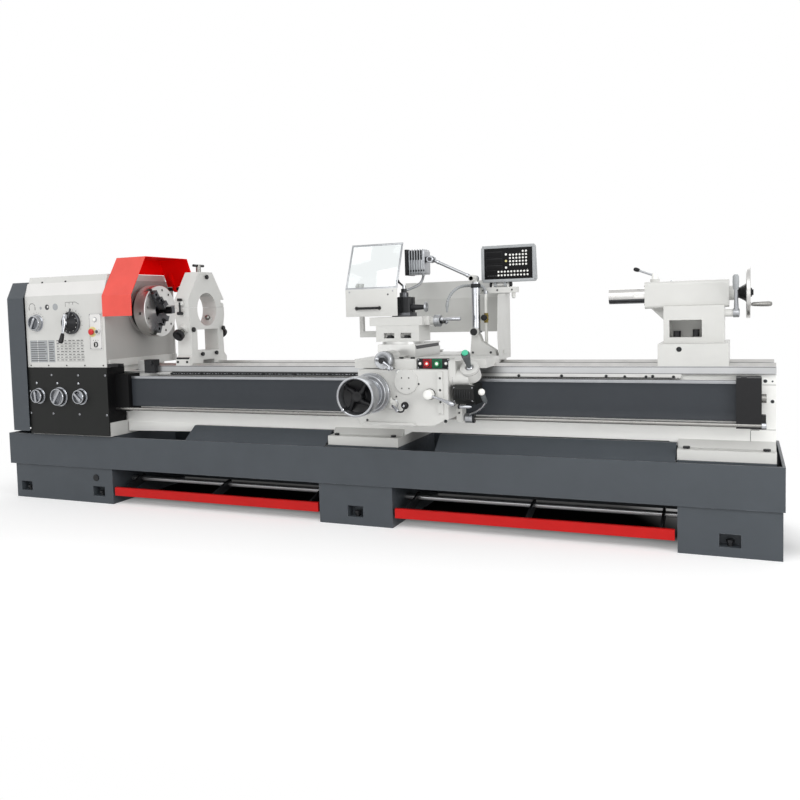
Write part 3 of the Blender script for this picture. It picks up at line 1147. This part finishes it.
for gx in (190, 322):
    shield.turned(black_plastic, (gx, -203.6, 1148), OUT, [(0, 0), (0, 10), (2, 10), (3, 8)], 24)
shield.turned(ink, (372, -203.8, 1218), OUT, disc(5, 0.5), 20)
for bx in (150, 400):
    shield.screw(bright_chrome, (bx, -203.6, 1236), OUT, 4, 2.4)
shield.fitted("shield", ["chip_shield"])
pane = Blank("clear_window")
pane.block(clear_sheet, (132, 1.4, 6), (418, 4.2, 261), 0.4, lean)
pane.fitted("shield")
print("chip shield made")

# %% [markdown]
# ## The work lamp
# The lamp is a finned alloy head with a black bezel and a pale glass, held by a
# black bracket at the end of its arm. Its cable runs in a bright flexible
# conduit, whose ribs are made by letting the radius of a bent rod swing.

# %% Lamp
def ribbed_run(points, pitch, low, high):
    """Evenly spaced points along a path, and radii that swing between low and high."""
    points = [Vector(p) for p in points]
    lengths = [(b - a).length for a, b in zip(points, points[1:])]
    total, run, radii = sum(lengths), [], []
    count = max(4, round(total / pitch) * 2)
    for k in range(count + 1):
        left = total * k / count
        part = 0
        while part < len(lengths) - 1 and left > lengths[part]:
            left -= lengths[part]
            part += 1
        run.append(points[part].lerp(points[part + 1], min(1, left / lengths[part])))
        radii.append(high if k % 2 else low)
    return run, radii


lamp = Blank("work_lamp_head")
lamp.block(alloy, (400, 38, 1329), (494, 134, 1452), 4)
for k in range(6):
    lamp.plate(alloy, [(30, 1324), (142, 1324), (142, 1452), (134, 1462), (118, 1457), (102, 1463), (86, 1458),
        (70, 1463), (54, 1457), (38, 1462), (30, 1452)], (406 + k * 15.2, 0, 0), BACK, UP, 5, 0.8)
for k in range(5):
    lamp.block(black_oxide, (412 + k * 15.2, 34, 1404), (420 + k * 15.2, 138, 1456), 1)
lamp.block(black_oxide, (402, 33, 1340), (492, 37.6, 1350), 0.6)
lamp.plate(black_plastic, [(28, 1321), (144, 1321), (144, 1463), (28, 1463)], (382, 0, 0), BACK, UP, 18, 2.2)
lamp.block(white_plastic, (381.4, 38, 1331), (383.4, 134, 1453), 0.6)
lamp.block(black_oxide, (486, 54, 1390), (521, 71, 1420), 2)
lamp.turned(black_oxide, (520, 54, 1405), BACK,
    [(0, 7.05), (0, 17), (1.5, 18), (16.5, 18), (18, 17), (18, 7.05)], 36)
lamp.turned(bright_chrome, (520, 53, 1405), OUT, [(-1, 19), (0, 20), (5, 20), (7, 18), (7, 11)], 40)
lamp.turned(ink, (520, 53, 1405), OUT, [(7, 11), (4, 10.5), (4, 0)], 28)
lamp.turned(alloy, (477, 66, 1332), DOWN, [(0, 0), (0, 11), (8, 11), (10, 9), (14, 9), (14, 0)], 20)
conduit, radii = ribbed_run(arc((406, 66, 1326), 70, 2, 62, 12, RIGHT, DOWN)
    + [(410, 66, 1253), (378, 66, 1243), (346, 66, 1238)], 4.4, 6.2, 7.6)
lamp.bent(alloy, conduit, radii, 16)
lamp.fitted("lamp_upper", ["lamp_head"])

joints = Blank("lamp_arm_joints")
joints.turned(black_oxide, (762, 73.6, 1290), OUT, [(0, 0), (0, 11), (3, 11), (4, 9), (4, 0)], 28)
joints.turned(bright_chrome, (762, 74.2, 1290), OUT, [(0, 12), (0, 18), (1.4, 17.4), (1.4, 12)], 40)
joints.turned(bright_chrome, (520, 98, 1405), BACK, [(0, 0), (0, 14), (3, 13), (4, 0)], 32)
for x0, z0 in ((722, 1309), (556, 1388)):
    joints.turned(bright_chrome, (x0, 86, z0), (-0.903, 0, 0.429), [(-7, 9), (-6, 11), (6, 11), (7, 9)], 24)
joints.fitted("lamp_lower")
print("work lamp made")

# %% [markdown]
# ## The coolant line
# A white pipe rises from the saddle, passes a brass valve and goes over into a
# jointed hose: small ball joints snapped into each other, so the same swinging
# radius serves again, with a longer beat. It bends over the post and down to a
# tapered nozzle.

# %% Coolant line
pipe = Blank("coolant_pipe_and_hose")
pipe.turned(white_plastic, (815, 100, 885), UP,
    [(0, 0), (0, 20), (7, 20), (9, 12), (22, 12), (23, 8.5), (333, 8.5), (333, 0)], 28)
pipe.turned(brass, (815, 100, 1052), UP, [(0, 8.5), (0, 13), (14, 13), (15, 16), (20, 16), (21, 14), (32, 14),
    (33, 16), (38, 16), (39, 13), (52, 13), (52, 8.5)], 6)
pipe.turned(brass, (815, 100, 1080), OUT, [(0, 0), (0, 10), (34, 10), (36, 8), (40, 8)], 24)
pipe.turned(black_plastic, (815, 64, 1080), OUT, [(0, 0), (0, 14), (3, 17), (9, 17), (10, 14), (10, 0)], 10)
turn = math.radians(42)
heading = Vector((-math.cos(turn), -math.sin(turn), 0))
corner = Vector((745 - 50 * math.sin(turn), 50 + 50 * math.cos(turn), 1254))
path = (arc((775, 100, 1214), 40, 0, 90, 8) + [(745, 100, 1254)] + arc((745, 50, 1254), 50, 92, 132, 6, RIGHT,
    BACK) + arc(corner - Vector((0, 0, 116)), 116, 2, 78, 16, UP, tuple(heading)))
drop = math.radians(86)
down = heading * math.cos(drop) - Vector(UP) * math.sin(drop)
tip = path[-1] + down * 8
hose, radii = ribbed_run(path + [tip], 13, 6.4, 9.2)
pipe.bent(case_grey, hose, radii, 20)
pipe.turned(case_grey, tip - down * 4, down,
    [(0, 0), (0, 9.4), (12, 9.4), (14, 8), (30, 6), (45, 4.6), (45, 3), (38, 3), (38, 0)], 24)
pipe.turned(alloy, (815, 100, 1206), UP, disc(11, 16, 9), 24)
pipe.fitted("carriage", ["coolant_line"])
print("coolant line made")

# %% [markdown]
# ## The readout
# A pale grey frame with round corners holds a black face. There are three dark
# display windows at its left, and white round keys at its right: a column by the
# windows, a block of figures, and two rows below. Nothing is written on them.

# %% Readout
display = Blank("readout_console")
display.plate(case_grey, [(800, 1267), (1066, 1267), (1074, 1270), (1080, 1281), (1074, 1452), (1070, 1460),
    (1062, 1463), (804, 1463), (796, 1460), (792, 1452), (786, 1281), (792, 1270)], (0, 172, 0),
    RIGHT, UP, 42, 2.5)
for low, high in (((786.4, 124, 1279), (803, 132, 1452)), ((1063, 124, 1279), (1079.6, 132, 1452)),
        ((792, 124, 1447), (1074, 132, 1462.6)), ((792, 124, 1267.4), (1074, 132, 1283))):
    display.block(case_grey, low, high, 2.4)
display.block(jet, (801, 127.6, 1282), (1065, 131, 1449), 0.5)
for k in range(3):
    display.block(black_plastic, (812, 126.9, 1400 - k * 36), (902, 128, 1430 - k * 36), 1.2)
    display.block(jet, (815, 126.4, 1403 - k * 36), (899, 127.4, 1427 - k * 36), 0.6)


def key(x0, z0, paint=white_plastic, size=5.2):
    display.turned(paint, (x0, 128, z0), OUT, [(0, 0), (0, size), (1.6, size), (2.2, size - 1), (2.2, 0)], 16)


for k in range(3):
    key(922, 1413 - k * 35, straw_plastic if k == 1 else white_plastic, 6)
for row in range(5):
    for column in range(6):
        if row or column > 3:
            key(944 + column * 17.2, 1427 - row * 17.2)
for row in range(2):
    for column in range(10):
        key(880 + column * 17.4, 1322 - row * 19)
for k in range(4):
    display.block(ink, (820 + k * 13, 127.2, 1300), (829 + k * 13, 128, 1303), 0.3)
for lx in (851, 905):
    display.block(case_grey, (lx, 138, 1254), (lx + 14, 162, 1272), 1.5)
    display.turned(case_grey, (lx, 150, 1255), RIGHT, boss(13, 14, 8.05), 32)
for k in range(5):
    display.block(ink, (850 + k * 26, 171.4, 1330), (866 + k * 26, 172.2, 1420), 0.4)
for sx in (806, 1060):
    for sz in (1290, 1444):
        display.screw(bright_chrome, (sx, 171.6, sz), BACK, 4, 2)
display.fitted("display", ["readout"])
print("readout made")

# %% [markdown]
# Black knobs, bright collars and a hook hold the readout, its post and the lamp.
# They ride with the carriage.

# %% Holders of the readout and the lamp
holder = Blank("readout_and_lamp_holder")
for kx in (832, 940):
    holder.turned(black_plastic, (kx, 150, 1255), RIGHT,
        [(-6, 0), (-6, 10), (-4, 14), (6, 14), (8, 10), (8, 0)], 12)
holder.bent(bright_chrome,
    [(948, 150, 1206), (948, 150, 1190), (952, 150, 1182), (958, 150, 1182), (962, 150, 1188)], 4, 12)
holder.turned(black_plastic, (775, 0, 1007), OUT,
    [(-30, 0), (-30, 12), (-22, 12), (-20, 20), (-16, 22), (0, 22), (3, 19), (3, 0)], 14)
holder.turned(bright_chrome, (775, 50, 1009), UP,
    [(-8, 20), (-8, 29), (-6, 31), (2, 31), (4, 29), (4, 20)], 36)
holder.turned(black_oxide, (775, 50, 1240), UP,
    [(0, 20), (0, 25), (1.5, 26), (20, 26), (22, 25), (22, 20)], 36)
holder.turned(black_plastic, (762, 24, 1290), OUT,
    [(-3, 0), (-3, 8), (0, 8), (2, 15), (14, 15), (16, 12), (16, 0)], 12)
for sx in (790, 870, 950):
    holder.screw(black_oxide, (sx, 133.6, 1225), OUT, 4.5, 3)
for sx in (858, 760):
    holder.screw(black_oxide, (sx, 25.6, 896), OUT, 6, 3)
holder.fitted("carriage")
print("holders made")

# %% [markdown]
# ## The tailstock
# The handwheel is a polished rim with three round windows in its web, a black
# cone behind it and a crank handle.

# %% Tailstock wheel
hand = Blank("tailstock_handwheel")
wx = 2095
hand.turned(chuck_steel, (wx, 0, SPINDLE_Z), RIGHT, [(-8, 101), (-9, 103), (-9, 117), (-6, 120), (6, 120),
    (9, 117), (9, 103), (8, 101), (3, 100), (-3, 100), (-8, 101)], 72)
corners = ((-0.30, 30), (-0.22, 60), (-0.30, 101.5), (-0.15, 102), (0, 102), (0.15, 102), (0.30, 101.5),
    (0.22, 60), (0.30, 30))
for a in turns(3):
    web = [(math.cos(a + math.pi / 2 + s) * r, math.sin(a + math.pi / 2 + s) * r) for s, r in corners]
    hand.plate(alloy, web, (wx - 5, 0, SPINDLE_Z), BACK, UP, 10, 2)
hand.turned(alloy, (wx, 0, SPINDLE_Z), RIGHT,
    [(-9, 0), (-9, 38), (-6, 42), (6, 42), (9, 38), (10, 26), (10, 0)], 48)
hand.turned(black_plastic, (2050, 0, SPINDLE_Z), RIGHT,
    [(0, 15), (0, 21), (2, 22.5), (30, 38), (35, 43), (37, 43.5), (37, 15)], 48)
hand.turned(black_oxide, (wx, 0, SPINDLE_Z), RIGHT,
    [(9, 0), (9, 20), (11, 22), (16, 20), (16, 14), (22, 14), (22, 0)], 6)
hand.turned(turned_steel, (1766, 0, SPINDLE_Z), RIGHT,
    [(0, 0), (0, 14), (1, 14.9), (284, 14.9), (284, 0)], 32)
hand.turned(turned_steel, (2099, -78.7, 1115.3), RIGHT, [(0, 0), (0, 11), (6, 11), (7, 6), (10, 6), (14, 9),
    (50, 11.5), (80, 12), (90, 10), (94, 5), (94, 0)], 28)
ticks(hand, (2052, 0, SPINDLE_Z), RIGHT, 25, 40, 4, 7)
hand.fitted("tail_wheel", ["tailstock_wheel"])
print("tailstock wheel made")

# %% [markdown]
# The quill clamp is a white boss with a thin lever, and the big clamp lever
# stands upright on the right side. Small screws and two wipers follow.

# %% Levers and trim of the tailstock
lock = Blank("quill_clamp_lever")
lock.turned(turned_steel, (1685, 0, 1212), UP, disc(8.9, 37), 24)
lock.turned(white_plastic, (1685, 0, 1236), UP, [(0, 0), (0, 15), (34, 15), (38, 13), (40, 9), (40, 0)], 36)
lock.bent(alloy, [(1679, -1, 1267), (1650, -4, 1277), (1625, -6.5, 1287), (1612, -8, 1293)],
    [5.4, 5, 5, 6], 16)
lock.bent(black_plastic, [(1614, -7.6, 1292), (1610, -8, 1294), (1600, -9, 1297.5), (1592, -10, 1300),
    (1588, -10, 1301)], [7, 9, 10.5, 9, 5], 20)
lock.fitted("barrel_lock", ["quill_lock_lever"])

clamp = Blank("tailstock_bed_clamp")
clamp.turned(turned_steel, (1981, -78, 1078), RIGHT, disc(8.9, 51), 24)
clamp.turned(alloy, (2031, -78, 1078), RIGHT,
    [(0, 0), (0, 20), (1.5, 21), (24, 21), (27, 18), (28, 12), (28, 0)], 40)
clamp.bent(bright_chrome, [(2045, -82, 1090), (2044.4, -96, 1130), (2043.4, -112, 1172), (2043, -118, 1188)],
    [11, 9, 8, 8.5], 20)
clamp.bent(case_grey, [(2043, -117, 1184), (2043, -119, 1192), (2043, -125, 1218), (2043, -131, 1244),
    (2043, -132.4, 1252)], [10, 12.4, 14, 13.4, 8], 24)
clamp.fitted("tail_clamp", ["tailstock_clamp_lever"])

trim = Blank("tailstock_trim")
trim.turned(bright_chrome, (1760, 0, 1233.8), UP, [(0, 0), (0, 6), (3, 6), (5, 3), (5, 0)], 20)
for sy, sz in ((-60, 1126), (60, 1126), (-60, 1214), (60, 1214)):
    trim.screw(black_oxide, (1644.4, sy, sz), LEFT, 5, 3)
trim.turned(bright_chrome, (1644.4, 0, SPINDLE_Z), LEFT,
    [(0, 37.8), (0, 50), (3, 49), (4, 46), (4, 37.8)], 48)
for sx in (1722, 2002):
    trim.block(black_plastic, (sx - 9, -199, 838.4), (sx + 9, -100, 858), 2)
trim.fitted("tailstock")
print("tailstock levers made")

# %% [markdown]
# ## The steady rest
# Black pins hold its hinge, a swing bolt with a knurled nut closes it in front,
# and each finger has its clamp screw.

# %% Steady rest
trim = Blank("steady_rest_trim")
for sy in (-74, 74):
    trim.turned(black_oxide, (-899, sy, 902), RIGHT, disc(13, 10, 0, 1), 6)
trim.bent(black_oxide, [(-955, -206, 1150), (-955, -206, 1214)], 6, 14)
trim.turned(black_oxide, (-971, -206, 1150), RIGHT, disc(10, 32), 24)
for sy in (-158, 158):
    trim.turned(black_plastic, (-904.6, sy, 1052), RIGHT,
        [(0, 0), (0, 6), (4, 6), (5, 15), (14, 15), (16, 12), (16, 0)], 12)
trim.block(black_oxide, (-1000, -199, 877), (-910, -190, 889), 1.5)
for sx in (-988, -922):
    trim.turned(black_oxide, (sx, -198.5, 862), OUT, [(0, 0), (0, 7), (6, 7), (7, 5.6), (7, 0)], 18)
trim.bent(black_oxide, [(-955, 208, 1216), (-955, 212, 1206), (-955, 210, 1196)], 5, 12)
trim.fitted("steady")
cap = Blank("steady_cap_trim")
cap.block(white_paint, (-975, -206, 1196), (-935, -186, 1222), 3)
cap.turned(black_plastic, (-955, -206, 1222.4), UP,
    [(0, 0), (0, 13), (2, 15), (14, 15), (16, 12), (16, 0)], 14)
cap.turned(black_plastic, (-904.6, 0, 1366), RIGHT,
    [(0, 0), (0, 6), (4, 6), (5, 14), (13, 14), (15, 11), (15, 0)], 12)
cap.fitted("steady_lid")
print("steady rest trim made")

# %% [markdown]
# ## Edges and small parts of the bed
# The casting reaches a little lower than its solid near the headstock, so two
# sills carry its wall down. Thin shadow lines separate the front way from its lip,
# and the dark face of the rack carries a row of short bright marks.

# %% Bed trim
strip = Blank("bed_trim")
strip.plate(wall_paint, [(-1388, 436), (-830, 448), (-806, 474), (-806, 494), (-1388, 494)], (0, -182.2, 0),
    RIGHT, UP, 3, 0.8)
strip.block(wall_paint, (-806.2, -185.2, 478), (86, -182.1, 494), 0.8)
strip.block(jet, (-1160, -200.5, 835.4), (2204, -199.9, 837.6), 0)
strip.block(jet, (-1160, -200.5, 804.6), (2204, -199.9, 806.4), 0)
strip.block(black_oxide, (-1036, -198.8, 785), (520, -198.1, 803.5), 0)
strip.block(black_oxide, (520, -198.8, 783), (1790, -198.1, 787.5), 0)
for k in range(76):
    x0 = -1030 + k * 20
    strip.block(alloy, (x0, -199.2, 792), (x0 + 6 + 7 * (k % 3 == 0), -198.7, 794.5), 0)
for x0 in (1565, 1660, 1781):
    strip.turned(black_oxide, (x0, -198.2, 791), OUT, disc(6.5, 1.6), 20)
strip.fitted("base")
print("bed trim made")

# %% [markdown]
# The right end of the bed has turned holes, two grooves and a black bracket that
# holds the end of the control rod. At the left a black switch box and a stop
# block stand on the bed beside the headstock.

# %% Ends of the bed
ends = Blank("bed_end_trim")
for x0, z0, radius in ((2163, 773, 7), (2192, 682, 7), (2192, 772, 3), (2164, 682, 3)):
    ends.turned(black_oxide, (x0, -182.05, z0), OUT, [(0, 0), (0, radius), (0.6, radius), (0.6, 0)], 24)
    ends.turned(alloy, (x0, -182.05, z0), OUT,
        [(0, radius), (0, radius + 1.6), (1, radius + 1.4), (1, radius)], 24)
for x0, x1, z0 in ((2151, 2206, 756), (2103, 2206, 555)):
    ends.block(jet, (x0, -182.7, z0 - 0.8), (x1, -182, z0 + 0.8), 0)
ends.bent(jet, [(2104, -182.4, 470), (2104, -182.4, 545)] + arc((2111, -182.4, 545), 7, 180, 90, 5)
    + [(2140, -182.4, 552)], 0.9, 6)
ends.block(black_plastic, (2147, -292, 575), (2164, -250, 634), 2)
ends.turned(bright_chrome, (2146, -284, 586), RIGHT, boss(16, 20, 10.05), 32)
for z0 in (584, 786):
    ends.block(black_oxide, (2064, -286, z0 - 3), (2088, -252, z0 + 13.4 if z0 > 700 else z0), 1.2)
ends.block(black_plastic, (-1388, -356, 842), (-1310, -300, 861), 2)
ends.fitted("base")
print("bed ends made")
